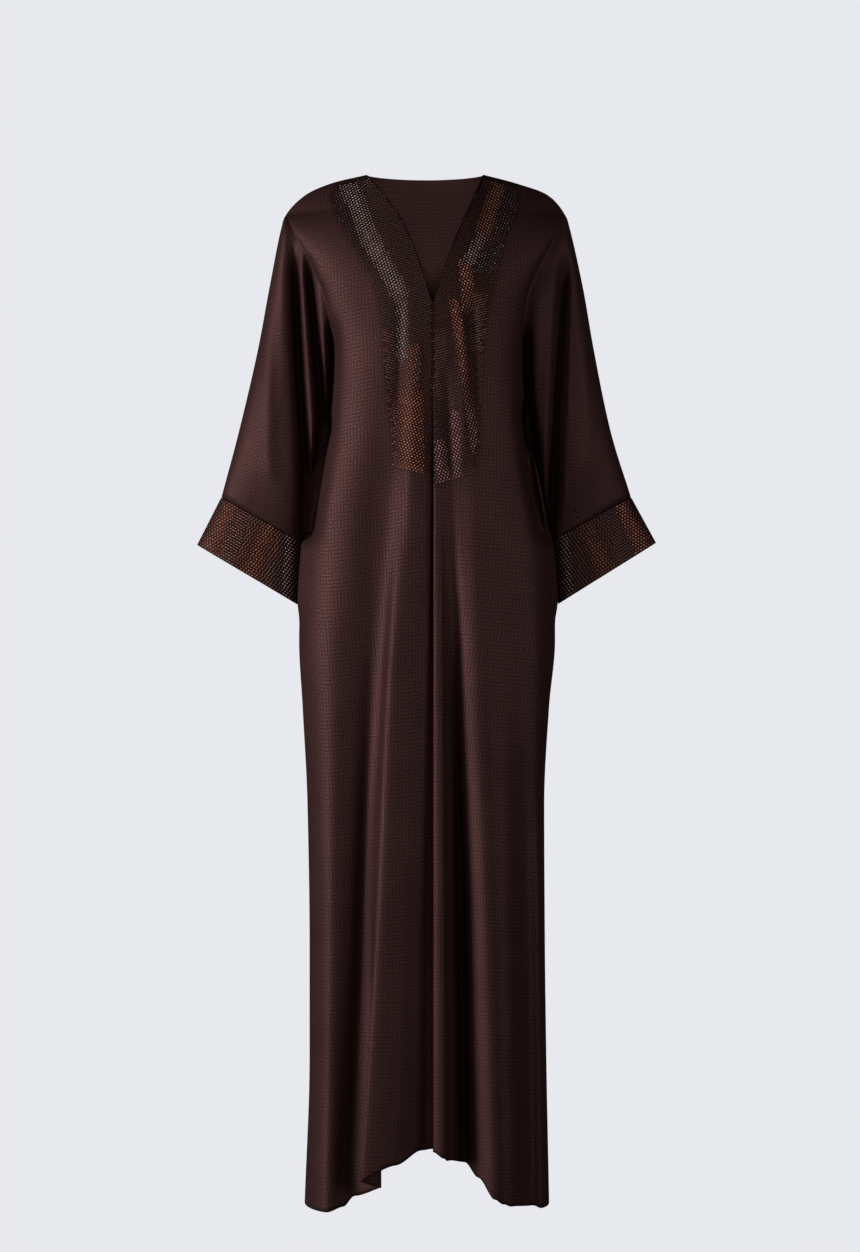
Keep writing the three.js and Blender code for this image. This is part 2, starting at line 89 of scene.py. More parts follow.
def addCamera():
    data = bpy.data.cameras.new("camera")
    data.sensor_fit = "VERTICAL"
    data.angle = 2.0 * math.atan(camera["tall"] / 2.0 / camera["distance"])
    obj = addObject("camera", data)
    obj.location = (camera["side"], -camera["distance"], camera["height"])
    obj.rotation_euler = (math.pi / 2.0, 0.0, 0.0)
    bpy.context.scene.camera = obj


def addStage():
    bm = bmesh.new()
    wide, bend, radius = stage["wide"], stage["bend"], stage["radius"]
    start = bm.verts.new((-wide, stage["front"], stage["floor"]))
    foot = bm.verts.new((-wide, bend, stage["floor"]))
    edge = bm.edges.new((start, foot))
    turned = bmesh.ops.spin(bm, geom=[foot], cent=(-wide, bend, stage["floor"] + radius),
                            axis=(1, 0, 0), angle=math.pi / 2.0, steps=16, use_duplicate=False)
    last = [item for item in turned["geom_last"] if isinstance(item, bmesh.types.BMVert)][0]
    head = bm.verts.new((-wide, last.co.y, stage["top"]))
    bm.edges.new((last, head))
    swept = bmesh.ops.extrude_edge_only(bm, edges=list(bm.edges))
    verts = [item for item in swept["geom"] if isinstance(item, bmesh.types.BMVert)]
    bmesh.ops.translate(bm, verts=verts, vec=(2.0 * wide, 0, 0))
    bmesh.ops.recalc_face_normals(bm, faces=bm.faces)
    for face in bm.faces:
        face.smooth = True
    mesh = bpy.data.meshes.new("backdrop")
    bm.to_mesh(mesh)
    bm.free()
    obj = addObject("backdrop", mesh)
    mat = bpy.data.materials.new("paleBackdrop")
    mat.use_nodes = True
    nodes, links = mat.node_tree.nodes, mat.node_tree.links
    nodes.clear()
    out = nodes.new("ShaderNodeOutputMaterial")
    blend = nodes.new("ShaderNodeMixShader")
    path = nodes.new("ShaderNodeLightPath")
    brightness = nodes.new("ShaderNodeEmission")
    brightness.inputs["Color"].default_value = stage["pale"]
    brightness.inputs["Strength"].default_value = 1.0
    matt = nodes.new("ShaderNodeBsdfDiffuse")
    matt.inputs["Color"].default_value = stage["matt"]
    links.new(path.outputs["Is Camera Ray"], blend.inputs["Fac"])
    links.new(matt.outputs[0], blend.inputs[1])
    links.new(brightness.outputs[0], blend.inputs[2])
    links.new(blend.outputs[0], out.inputs["Surface"])
    mesh.materials.append(mat)


def addLights():
    for name, (place, aim, width, height, watts, colour) in lights.items():
        data = bpy.data.lights.new(name, "AREA")
        data.shape = "RECTANGLE"
        data.size = width
        data.size_y = height
        data.energy = watts
        data.color = colour
        pointAt(addObject(name, data), place, aim)
    data = bpy.data.lights.new("neckLight", "SPOT")
    data.energy = neckLight["watts"]
    data.shadow_soft_size = neckLight["radius"]
    data.spot_size = math.radians(neckLight["cone"])
    data.spot_blend = 1.0
    pointAt(addObject("neckLight", data), neckLight["place"], neckLight["aim"])
    world = bpy.data.worlds.new("studio")
    world.use_nodes = True
    world.node_tree.nodes["Background"].inputs["Color"].default_value = (1.0, 1.0, 1.0, 1.0)
    world.node_tree.nodes["Background"].inputs["Strength"].default_value = worldGrey
    bpy.context.scene.world = world
    bpy.context.scene.view_settings.view_transform = "Standard"


addCamera()
addStage()
addLights()
print("stage: camera, backdrop and lights")

# The cut, in millimetres as a maker writes it. Drops are measured down from the neck points.
cut = {
    "centreX": 7.0,
    "neckDrop": 195.0,
    "tipDrop": 57.0,
    "underarmDrop": 500.0,
    "neckMiddle": -4.0,
    "neckHalf": 84.0,
    "backDip": 1.0,
    "collarRise": 25.0,
    "sleeveRound": 2.2,
    "cuffRound": 2.4,
    "cuffHalfDepth": 31.0,
    "bandFrom": 0.7,  # share of the sleeve's width past which it takes the cuff's section
    "riseShape": 0.56,
    "riseDrop": {"front": 250.0, "back": 165.0},
    "bulge": 5.0,  # how far the front swells sideways below the arms
    "bulgeDepth": 50.0,
    "bulgeFoot": 645.0,
    "seamGap": 0.3,
    "foldStart": 290.0,
    "foldDrops": (500.0, 750.0, 1050.0, 1400.0),
    "neckRows": 6,
    "chestRows": 5,
    "skirtRows": 13,
}
# drop, left x, right x
overArmTable = (
    (0, -88, 80), (13, -141, 129), (30, -177, 173), (57, -203, 196), (79, -210, 203),
    (164, -227, 222), (250, -243, 237), (370, -271, 262), (460, -295, 290),
)
neckTable = ((0, -88, 80), (51, -50, 60), (97, -25, 39.5), (195, 7, 7))
sideTable = (
    (57, -203, 196), (90, -188, 181), (130, -166, 160), (182, -146, 140), (265, -134, 134),
    (371, -144, 146), (435, -159, 159), (500, -173, 171), (608, -182, 181), (665, -184, 181.5),
    (760, -179, 173), (900, -172, 166), (1100, -169, 167), (1260, -169, 169), (1466, -176, 173),
)
# drop, depth in front, depth behind
bodyDepthTable = (
    (0, 112, 94), (182, 113, 96), (270, 118, 97), (380, 114, 97), (500, 108, 99),
    (750, 107, 103), (1050, 111, 109), (1466, 117, 118),
)
# drop, how squarely the body turns at its sides: 2 is an ellipse, more is boxier
roundTable = ((110, 2.0), (330, 2.8), (1466, 2.8))
# drop, sleeve at its fullest, groove beside the body
sleeveDepthTable = (
    (57, 0, 0), (66, 21, 19), (90, 38, 38), (125, 47, 49), (175, 50, 51), (265, 50, 36),
    (371, 46, 17), (450, 41, 9), (488, 36, 6), (500, 35, 0), (530, 32, 0),
)
# seam's inner end x and drop, open edge's outer end, open edge's inner end
cuffCorners = {
    "left": (-178.5, 526, -330, 529, -186, 614),
    "right": (177, 522, 326, 526, 186, 613),
}
# Lengthwise folds: name, x at the four fold drops, height at them, the hem's drop
leftGuides = (
    ("centre", (7, 7, 7, 7), (-7, -11, -16, -20), 1377),
    ("recess", (-5, -5, -7, -10), (4, -4, -11, -18), 1379),
    ("foldFace", (-26, -30, -38, -46), (7, 8, 8, 8), 1396),
    ("foldEdge", (-38, -56, -70, -93), (3, 11, 14, 20), 1418),
    ("underTurn", (-56, -67, -79, -66), (-5, -14, -21, -8), 1430),
    ("valley", (-74, -81, -91, -102), (-6, -20, -30, -28), 1446),
    ("rollFace", (-108, -108, -110, -119), (1, -6, -13, -15), 1460),
    ("roll", (-142, -142, -140, -144), (3, 6, 9, 10), 1466),
    ("side", None, (0, 0, 0, 0), 1466),
)
rightGuides = (
    ("centre", (7, 7, 7, 7), (-7, -11, -16, -20), 1377),
    ("pleatEdge", (9, 9, 9, 9), (1, 4, 6, 6), 1378),
    ("pleatFace", (17, 19, 21, 22), (1, 5, 8, 9), 1386),
    ("pleatBack", (25, 26, 28, 29), (-3, -8, -13, -16), 1393),
    ("trough", (35, 38, 47, 51), (-5, -23, -42, -46), 1400),
    ("edge", (47, 53, 62, 71), (-2, -4, -8, -8), 1416),
    ("crest", (65, 72, 83, 93), (2, 5, 8, 10), 1444),
    ("dip", (82, 88, 98, 106), (0, 1, 4, 6), 1452),
    ("thinCrest", (101, 105, 111, 117), (0, 0, 3, 4), 1456),
    ("recess", (126, 132, 141, 146), (0, -4, -12, -14), 1461),
    ("roll", (153, 156, 158, 161), (1, 3, 3, 3), 1465),
    ("side", None, (0, 0, 0, 0), 1466),
)
backGuides = (
    ("leftSide", None, (0, 0, 0, 0), 1466),
    ("leftRoll", (-156, -160, -154, -156), (0, 2, 4, 4), 1462),
    ("leftDip", (-124, -126, -126, -128), (-1, -4, -8, -9), 1446),
    ("leftFold", (-98, -98, -98, -100), (2, 6, 10, 12), 1432),
    ("leftNeck", (-73.85, -70, -68, -68), (0, -4, -9, -11), 1422),
    ("leftFan", (-34, -34, -34, -36), (2, 4, 8, 10), 1408),
    ("middle", (2, 2, -2, -4), (-2, -5, -9, -10), 1400),
    ("rightFan", (36, 34, 34, 36), (1, 5, 9, 11), 1410),
    ("rightNeck", (70.99, 68, 67, 67), (0, -3, -7, -10), 1424),
    ("rightFold", (98, 96, 96, 99), (2, 5, 9, 11), 1436),
    ("rightDip", (123, 123, 124, 127), (-1, -4, -7, -8), 1448),
    ("rightRoll", (154, 154, 150, 154), (0, 2, 4, 4), 1462),
    ("rightSide", None, (0, 0, 0, 0), 1466),
)
# Creases, listed one by one: face, x at top, middle and foot, their drops, height, half width
creases = (
    # folds hanging from the left shoulder between sleeve and body
    ("front", -192, -183, -169, 84, 290, 530, -34, 9),
    ("front", -181, -172, -158, 90, 265, 432, 5, 6),
    ("front", -172, -160, -146, 112, 240, 400, -27, 7),
    ("front", -134, -135, -141, 205, 290, 385, -24, 7),
    ("front", -143, -157, -171, 340, 441, 535, -58, 10),
    ("front", -228, -226, -222, 190, 330, 455, 3, 9),
    # right shoulder
    ("front", 197, 187, 176, 96, 275, 515, -30, 9),
    ("front", 137, 138, 147, 215, 300, 400, -16, 8),
    ("front", 160, 152, 150, 150, 270, 400, 4, 9),
    ("front", 134, 146, 170, 305, 425, 540, -52, 9),
    ("front", 222, 224, 226, 200, 330, 450, 3, 10),
    # studded bib, pulled in soft ribs below the neck
    ("front", -38, -40, -44, 180, 250, 345, -5, 8),
    ("front", -18, -22, -26, 225, 320, 430, 4, 10),
    ("front", 60, 63, 66, 170, 250, 350, -5, 8),
    ("front", 46, 48, 54, 200, 290, 420, 3, 8),
    ("front", 24, 27, 32, 270, 350, 440, -3, 7),
    # back
    ("back", -198, -186, -174, 86, 290, 490, -20, 10),
    ("back", -180, -168, -158, 100, 255, 420, 5, 9),
    ("back", -172, -160, -152, 130, 260, 410, -14, 8),
    ("back", 193, 184, 172, 92, 300, 480, -20, 10),
    ("back", 178, 166, 157, 104, 260, 410, 5, 9),
    ("back", 168, 158, 152, 140, 270, 420, -13, 8),
    ("back", -60, -52, -48, 60, 200, 420, 4, 16),
    ("back", 56, 50, 44, 70, 220, 440, 4, 16),
    ("back", 0, 2, 0, 90, 260, 470, -4, 18),
)
column = {"left": 1, "right": 2, "front": 1, "back": 2, "full": 1, "groove": 2}


def mix(a, b, t):
    return a + (b - a) * t


def ease(t):
    s = min(max(t, 0.0), 1.0)
    return s * s * (3.0 - 2.0 * s)


def roundOff(t, power):
    return (1.0 - min(abs(t), 1.0) ** power) ** (1.0 / power)


def smoothAt(drops, values, drop):
    # smooth between the rows, level past both ends
    last = len(drops) - 1
    if drop <= drops[0]:
        return values[0]
    if drop >= drops[last]:
        return values[last]
    k = bisect.bisect_left(drops, drop) - 1
    span = drops[k + 1] - drops[k]
    own = (values[k + 1] - values[k]) / span
    before = (values[k] - values[k - 1]) / (drops[k] - drops[k - 1]) if k > 0 else own
    after = (values[k + 2] - values[k + 1]) / (drops[k + 2] - drops[k + 1]) if k + 1 < last else own
    start = 2.0 * before * own / (before + own) if before * own > 0 else 0.0
    end = 2.0 * own * after / (own + after) if own * after > 0 else 0.0
    if k == 0:
        start = own
    if k + 1 == last:
        end = own
    t = (drop - drops[k]) / span
    rest = 1.0 - t
    return (rest * rest * (1.0 + 2.0 * t) * values[k] + t * t * (3.0 - 2.0 * t) * values[k + 1]
            + rest * rest * t * span * start - t * t * rest * span * end)


tableColumns = {}


def fromTable(table, key, drop):
    found = tableColumns.get((id(table), key))
    if found is None:
        found = ([row[0] for row in table], [row[column[key]] for row in table])
        tableColumns[(id(table), key)] = found
    return smoothAt(found[0], found[1], drop)


def throughPoints(points, place):
    # centripetal curve through two-number points, at a point number that may lie between two
    last = len(points) - 1
    k = min(int(place), last - 1)
    t = place - k
    one, two = points[k], points[k + 1]
    before = points[k - 1] if k > 0 else (2 * one[0] - two[0], 2 * one[1] - two[1])
    after = points[k + 2] if k + 2 <= last else (2 * two[0] - one[0], 2 * two[1] - one[1])
    d0 = math.sqrt(math.hypot(one[0] - before[0], one[1] - before[1])) or 1.0
    d1 = math.sqrt(math.hypot(two[0] - one[0], two[1] - one[1])) or 1.0
    d2 = math.sqrt(math.hypot(after[0] - two[0], after[1] - two[1])) or 1.0
    result = []
    for axis in (0, 1):
        x0, x1, x2, x3 = before[axis], one[axis], two[axis], after[axis]
        m1 = ((x1 - x0) / d0 - (x2 - x0) / (d0 + d1) + (x2 - x1) / d1) * d1
        m2 = ((x2 - x1) / d1 - (x3 - x1) / (d1 + d2) + (x3 - x2) / d2) * d1
        c2 = -3 * x1 + 3 * x2 - 2 * m1 - m2
        c3 = 2 * x1 - 2 * x2 + m1 + m2
        result.append(x1 + t * (m1 + t * (c2 + t * c3)))
    return result


def evenLine(side):
    # the over-arm line in even steps
    points = [(row[column[side]], -row[0]) for row in overArmTable]
    fine = [throughPoints(points, (len(points) - 1) * k / 400.0) for k in range(401)]
    lengths = [0.0]
    for a, b in zip(fine, fine[1:]):
        lengths.append(lengths[-1] + math.hypot(b[0] - a[0], b[1] - a[1]))
    line = []
    for k in range(161):
        want = lengths[-1] * k / 160.0
        j = min(max(bisect.bisect_left(lengths, want) - 1, 0), len(fine) - 2)
        t = (want - lengths[j]) / (lengths[j + 1] - lengths[j])
        line.append((mix(fine[j][0], fine[j + 1][0], t), mix(fine[j][1], fine[j + 1][1], t)))
    return line


overArm = {side: evenLine(side) for side in ("left", "right")}


def onOverArm(side, key, value):
    # the other coordinate of the over-arm line: x for a height, height for an x
    line = overArm[side]
    axis = 0 if key == "x" else 1
    outward = 1.0 if line[-1][axis] > line[0][axis] else -1.0
    low, high = 0, len(line) - 2
    while low < high:
        middle = (low + high) // 2
        if (line[middle + 1][axis] - value) * outward < 0:
            low = middle + 1
        else:
            high = middle
    a, b = line[low], line[low + 1]
    t = (value - a[axis]) / (b[axis] - a[axis])
    return mix(a[1 - axis], b[1 - axis], t)


def shoulderHeight(x):
    across = (x - cut["neckMiddle"]) / cut["neckHalf"]
    if abs(across) < 1.0:
        return cut["collarRise"] * (1.0 - across * across)
    return onOverArm("left" if x < 0 else "right", "x", x)


def sideX(side, drop):
    return fromTable(sideTable, side, drop)


def creaseHeight(face, x, drop):
    total = 0.0
    for on, topX, midX, footX, top, mid, foot, high, wide in creases:
        if on != face or drop <= top or drop >= foot:
            continue
        t = (drop - top) / (foot - top)
        m = (mid - top) / (foot - top)
        bend = (midX - mix(topX, footX, m)) / (m * (1.0 - m))
        away = (x - mix(topX, footX, t) - bend * t * (1.0 - t)) / wide
        if abs(away) < 3.0:
            total += high * ease(t / 0.2) * ease((1.0 - t) / 0.15) * math.exp(-away * away)
    return total


def bodyDepth(face, side, x, drop):
    below = max(shoulderHeight(x) + drop, 0.0) / cut["riseDrop"][face]
    rise = (1.0 - (1.0 - min(below, 1.0)) ** 2) ** cut["riseShape"]
    full = fromTable(bodyDepthTable, face, drop) * rise
    groove = fromTable(sleeveDepthTable, "groove", drop) if drop < cut["underarmDrop"] else 0.0
    toSide = (x - cut["centreX"]) / (sideX(side, drop) - cut["centreX"])
    roundness = fromTable(roundTable, "full", drop)
    return mix(groove, full, roundOff(toSide, roundness))


def sleeveDepth(side, x, drop):
    under = cut["underarmDrop"]
    outer = onOverArm(side, "z", -drop)
    inner = sideX(side, min(drop, under))
    if drop > under:
        inner = mix(inner, cuffCorners[side][0], (drop - under) / (cuffCorners[side][1] - under))
    across = min(max((x - outer) / (inner - outer), 0.0), 1.0)
    full = fromTable(sleeveDepthTable, "full", drop)
    groove = fromTable(sleeveDepthTable, "groove", drop) if drop < under else 0.0
    return mix(groove if across > 0.5 else 0.0, full, roundOff(2.0 * across - 1.0, cut["sleeveRound"]))


def sideOf(guides):
    return {id(leftGuides): "left", id(rightGuides): "right"}.get(id(guides))


def guideShares(guides):
    under = cut["underarmDrop"]
    shares = []
    for k, guide in enumerate(guides):
        if guide[1] is None:
            shares.append(0.0 if guides is backGuides and k == 0 else 1.0)
        elif guides is backGuides:
            left = sideX("left", under)
            shares.append((guide[1][0] - left) / (sideX("right", under) - left))
        else:
            edge = sideX(sideOf(guides), under)
            shares.append((guide[1][0] - cut["centreX"]) / (edge - cut["centreX"]))
    return shares


shareOf = {id(guides): guideShares(guides) for guides in (leftGuides, rightGuides, backGuides)}


def alongRow(guides, place, drop):
    # x and fold height on a body row, at a guide number
    side = sideOf(guides)
    if side is None:
        start, end = sideX("left", drop), sideX("right", drop)
    else:
        start, end = fromTable(neckTable, side, drop), sideX(side, drop)
    shares = shareOf[id(guides)]
    last = len(guides) - 1
    k = min(int(place), last - 1)
    first, final = max(k - 1, 0), min(k + 2, last)
    points = []
    for j in range(first, final + 1):
        guide = guides[j]
        x = mix(start, end, shares[j])
        out = 0.0
        if drop > cut["underarmDrop"] and guide[1] is not None:
            x = smoothAt(cut["foldDrops"], guide[1], drop)
        if drop > cut["foldStart"]:
            out = smoothAt((cut["foldStart"],) + cut["foldDrops"], (0.0,) + guide[2], drop)
        points.append((x, out))
    return throughPoints(points, place - first)


def topDrop(guides, place):
    drop = 0.0
    for _ in range(30):
        x = alongRow(guides, place, drop)[0]
        across = (x - cut["neckMiddle"]) / cut["neckHalf"]
        if abs(across) >= 1.0:
            drop = -onOverArm("left" if x < 0 else "right", "x", x)
        else:
            drop = cut["backDip"] * (1.0 - across * across) if guides is backGuides else 0.0
        drop = min(max(drop, 0.0), cut["tipDrop"])
    return drop


def hemDrop(guides, place):
    k = min(int(place), len(guides) - 2)
    return mix(guides[k][3], guides[k + 1][3], ease(place - k))


columnEnds = {}


def rowDrop(guides, place, row):
    ends = columnEnds.get((id(guides), place))
    if ends is None:
        ends = (topDrop(guides, place), hemDrop(guides, place))
        columnEnds[(id(guides), place)] = ends
    if row <= cut["neckRows"]:
        return mix(ends[0], cut["neckDrop"], 1.0 - math.cos(math.pi / 2.0 * row / cut["neckRows"]))
    chest = row - cut["neckRows"]
    if chest <= cut["chestRows"]:
        return mix(cut["neckDrop"], cut["underarmDrop"], chest / cut["chestRows"])
    return mix(cut["underarmDrop"], ends[1], (chest - cut["chestRows"]) / cut["skirtRows"])


upperRows = cut["neckRows"] + cut["chestRows"]
outwards = {"front": -1.0, "back": 1.0}


def bodyPoint(face, guides, place, row):
    drop = rowDrop(guides, place, row)
    x, fold = alongRow(guides, place, drop)
    side = "left" if x < cut["centreX"] else "right"
    plain = bodyDepth(face, side, x, drop)
    depth = plain + fold + creaseHeight(face, x, drop)
    if face == "front":
        height = ease((drop - cut["underarmDrop"]) / 15.0) * ease((cut["bulgeFoot"] - drop) / 40.0)
        half = cut["bulgeDepth"] / 2.0
        swell = max(1.0 - ((plain - half) / half) ** 2, 0.0)
        x += (-1.0 if side == "left" else 1.0) * cut["bulge"] * height * swell
    onSeam = place == len(guides) - 1 or (guides is backGuides and place == 0)
    onShoulder = row == 0 and abs(x - cut["neckMiddle"]) > cut["neckHalf"] - 0.5
    if (onSeam and row >= upperRows) or onShoulder:
        depth = cut["seamGap"] / 2.0
    depth = max(depth, cut["seamGap"] / 2.0)
    return Vector((x, outwards[face] * depth, -drop)) * mm


def sleevePoint(face, side, fan, row):
    under, tip = cut["underarmDrop"], cut["tipDrop"]
    corner = cuffCorners[side]
    line = overArm[side]
    first = next(k for k, point in enumerate(line) if -point[1] >= tip)
    number = mix(first, len(line) - 1, fan)
    k = min(int(number), len(line) - 2)
    top = (mix(line[k][0], line[k + 1][0], number - k), mix(line[k][1], line[k + 1][1], number - k))
    if fan == 0:
        top = (sideX(side, tip), -tip)
    foot = (mix(sideX(side, under), corner[0], fan), -mix(under, corner[1], fan))
    neckRows = cut["neckRows"]
    drop = mix(tip, cut["neckDrop"], 1.0 - math.cos(math.pi / 2.0 * min(row / neckRows, 1.0)))
    if row > neckRows:
        drop = mix(cut["neckDrop"], under, (row - neckRows) / cut["chestRows"])
    grooveShare = (drop - tip) / (under - tip)
    ovalShare = (1.0 - math.cos(math.pi * row / upperRows)) / 2.0
    share = mix(grooveShare, ovalShare, ease(fan * 1.4))
    straight = mix(sideX(side, tip), sideX(side, under), share)
    bow = (sideX(side, mix(tip, under, share)) - straight) * (1.0 - fan) ** 1.6
    x = mix(top[0], foot[0], share) + bow
    z = mix(top[1], foot[1], share)
    plain = sleeveDepth(side, x, -z) + creaseHeight(face, x, -z)
    banded = cut["cuffHalfDepth"] * roundOff(2.0 * share - 1.0, cut["cuffRound"])
    bandShare = ease((fan - cut["bandFrom"]) / (1.0 - cut["bandFrom"]))
    depth = max(mix(plain, banded, bandShare), cut["seamGap"] / 2.0)
    if row == 0 or row == upperRows:
        depth = cut["seamGap"] / 2.0
    return Vector((x, outwards[face] * depth, z)) * mm


# How finely each panel is laid out, and its thickness
sewing = {
    "perGuide": 9,
    "perBackGuide": 11,
    "rowsPerUpper": 7,
    "rowsPerSkirt": 11,
    "fans": 46,
    "turnPower": 2.4,
    "thick": 1.0 * mm,
}


def bodyPlaces(guides, per):
    places = []
    last = len(guides) - 1
    for k in range(last):
        for j in range(per):
            t = j / per
            if k == last - 1:
                t = 1.0 - (1.0 - t) ** sewing["turnPower"]
            if k == 0 and guides is backGuides:
                t = t ** sewing["turnPower"]
            places.append(k + t)
    places.append(float(last))
    return places


def finishCloth(bm, name, thick, inward):
    # outward faces, smooth shading, a thin wall
    if inward:
        bmesh.ops.reverse_faces(bm, faces=bm.faces)
    for face in bm.faces:
        face.smooth = True
    mesh = bpy.data.meshes.new(name)
    bm.to_mesh(mesh)
    bm.free()
    obj = addObject(name, mesh)
    wall = obj.modifiers.new("wall", "SOLIDIFY")
    wall.thickness = thick
    wall.offset = -1.0
    wall.use_even_offset = False
    return obj


def layCloth(name, columns, rows, facing, seamStart):
    # columns: functions of the row that give a point, or None where the panel is open
    bm = bmesh.new()
    across, down = len(columns) - 1, len(rows) - 1
    uv = bm.loops.layers.uv.new("cloth")
    bmesh.ops.create_grid(bm, x_segments=across, y_segments=down, size=1.0, calc_uvs=True)
    spots = {}
    for vert in bm.verts:
        i = round((vert.co.x + 1.0) / 2.0 * across)
        j = round((1.0 - vert.co.y) / 2.0 * down)
        spots[(i, j)] = vert
    missing = []
    flat = {}
    for j, row in enumerate(rows):
        before = None
        for i, pointOn in enumerate(columns):
            vert = spots[(i, j)]
            point = pointOn(row)
            if point is None:
                missing.append(vert)
                continue
            vert.co = point
            above = spots.get((i, j - 1))
            v = flat[above][1] - (above.co - vert.co).length if above else vert.co.z
            u = seamStart(vert.co) if before is None else flat[before][0] + (vert.co - before.co).length
            flat[vert] = (u, v)
            before = vert
    bmesh.ops.delete(bm, geom=missing, context="VERTS")
    for face in bm.faces:
        for loop in face.loops:
            loop[uv].uv = flat[loop.vert]
    bm.normal_update()
    total = sum((face.normal * face.calc_area() for face in bm.faces), Vector())
    return finishCloth(bm, name, sewing["thick"], total.dot(facing) < 0)


def rowNumbers():
    upper = [k / sewing["rowsPerUpper"] for k in range(upperRows * sewing["rowsPerUpper"])]
    skirt = [upperRows + k / sewing["rowsPerSkirt"]
             for k in range(cut["skirtRows"] * sewing["rowsPerSkirt"] + 1)]
    return upper + skirt


def fanColumns(face, side):
    steps = [((k + 1) / sewing["fans"]) ** 1.5 for k in range(sewing["fans"])]
    return [lambda row, fan=fan: sleevePoint(face, side, fan, row) if row <= upperRows else None
            for fan in steps]


def makeFront(side):
    guides = leftGuides if side == "left" else rightGuides
    outward = -1.0 if side == "left" else 1.0
    columns = [lambda row, place=place: bodyPoint("front", guides, place, row)
               for place in bodyPlaces(guides, sewing["perGuide"])]

    def neckEdge(row):
        return bodyPoint("front", guides, 0.0, row) + Vector((outward * cut["seamGap"] / 2.0 * mm, 0, 0))

    columns[0] = neckEdge
    columns += fanColumns("front", side)
    centre = cut["centreX"] * mm
    return layCloth("front_" + side + "_cloth", columns, rowNumbers(), Vector((0, -1, 0)),
                    lambda co: abs(co.x - centre))


def makeBack():
    left = fanColumns("back", "left")[::-1]
    body = [lambda row, place=place: bodyPoint("back", backGuides, place, row)
            for place in bodyPlaces(backGuides, sewing["perBackGuide"])]
    columns = left + body + fanColumns("back", "right")
    return layCloth("back_cloth", columns, rowNumbers(), Vector((0, 1, 0)), lambda co: co.x)


cuffShape = {
    "across": 150,
    "down": 22,
    "thick": 1.4 * mm,
    "tuck": 0.03,  # share of the cuff's depth that turns up inside the sleeve
    "inset": 2.0,  # how far inside, in millimetres
}


def makeCuff(side):
    corner = cuffCorners[side]
    end = overArm[side][-1]
    along = Vector((corner[0] - end[0], 0, -corner[1] - end[1]))
    axis = along.cross(Vector((0, 1, 0))).normalized()
    if axis.z > 0:
        axis.negate()
    gap = axis * cut["seamGap"]
    seam = (Vector((end[0], 0, end[1])) + gap, Vector((corner[0], 0, -corner[1])) + gap)
    mouth = (Vector((corner[2], 0, -corner[3])), Vector((corner[4], 0, -corner[5])))
    bm = bmesh.new()
    across, down = cuffShape["across"], cuffShape["down"]
    uv = bm.loops.layers.uv.new("cloth")
    bmesh.ops.create_grid(bm, x_segments=across, y_segments=down, size=1.0, calc_uvs=True)
    places = {}
    for vert in bm.verts:
        k = round((vert.co.x + 1.0) / 2.0 * across)
        t = (1.0 - vert.co.y) / 2.0
        angle = 2.0 * math.pi * k / across
        share = (1.0 - math.cos(angle)) / 2.0
        inset = 0.0
        if t < 0.01:
            # the turning, tucked inside the sleeve
            t, inset = -cuffShape["tuck"], cuffShape["inset"]
            share = mix(share, 0.5, 0.025)
        outer, inner = seam[0].lerp(mouth[0], t), seam[1].lerp(mouth[1], t)
        point = outer.lerp(inner, share)
        depth = cut["cuffHalfDepth"] * roundOff(2.0 * share - 1.0, cut["cuffRound"]) - inset
        depth = max(depth, 0.0)
        point.y = -math.copysign(depth, math.sin(angle)) if 0 < k < across else 0.0
        places[vert] = (point * mm, angle)
    for vert, (point, angle) in places.items():
        vert.co = point
    width = (mouth[1] - mouth[0]).length * mm
    for face in bm.faces:
        for loop in face.loops:
            around = places[loop.vert][1] / math.pi
            loop[uv].uv = (around * width, loop.vert.co.z)
    bmesh.ops.remove_doubles(bm, verts=bm.verts, dist=1e-6)
    bmesh.ops.recalc_face_normals(bm, faces=bm.faces)
    bm.normal_update()
    middle = (seam[0] + seam[1] + mouth[0] + mouth[1]) * (mm / 4.0)
    away = sum((face.normal.dot(face.calc_center_median() - middle) for face in bm.faces), 0.0)
    return finishCloth(bm, "cuff_" + side + "_cloth", cuffShape["thick"], away < 0)


# Jacquard satin. Its small curled figure follows the cloth's own flat coordinates.
satin = {
    "repeat": 0.0104,
    "ground": (0.146, 0.0680, 0.0645, 1.0),
    "figure": (0.080, 0.0360, 0.0340, 1.0),
    "lustre": 0.50,
    "groundRough": 0.54,
    "figureRough": 0.62,
    "edgeTint": (0.55, 0.36, 0.34, 1.0),
    "specular": 0.15,
    "bump": 0.30,
    "weave": 0.00045,
    "studShade": 0.42,  # how dark the cloth is painted under the studs, as the shade between them
}


def wire(tree, kind, operation=None, inputs=(), **fixed):
    node = tree.nodes.new(kind)
    if operation:
        node.operation = operation
    for name, value in fixed.items():
        setattr(node, name, value)
    for k, value in enumerate(inputs):
        if value is None:
            continue
        if isinstance(value, bpy.types.NodeSocket):
            tree.links.new(value, node.inputs[k])
        else:
            node.inputs[k].default_value = value
    return node


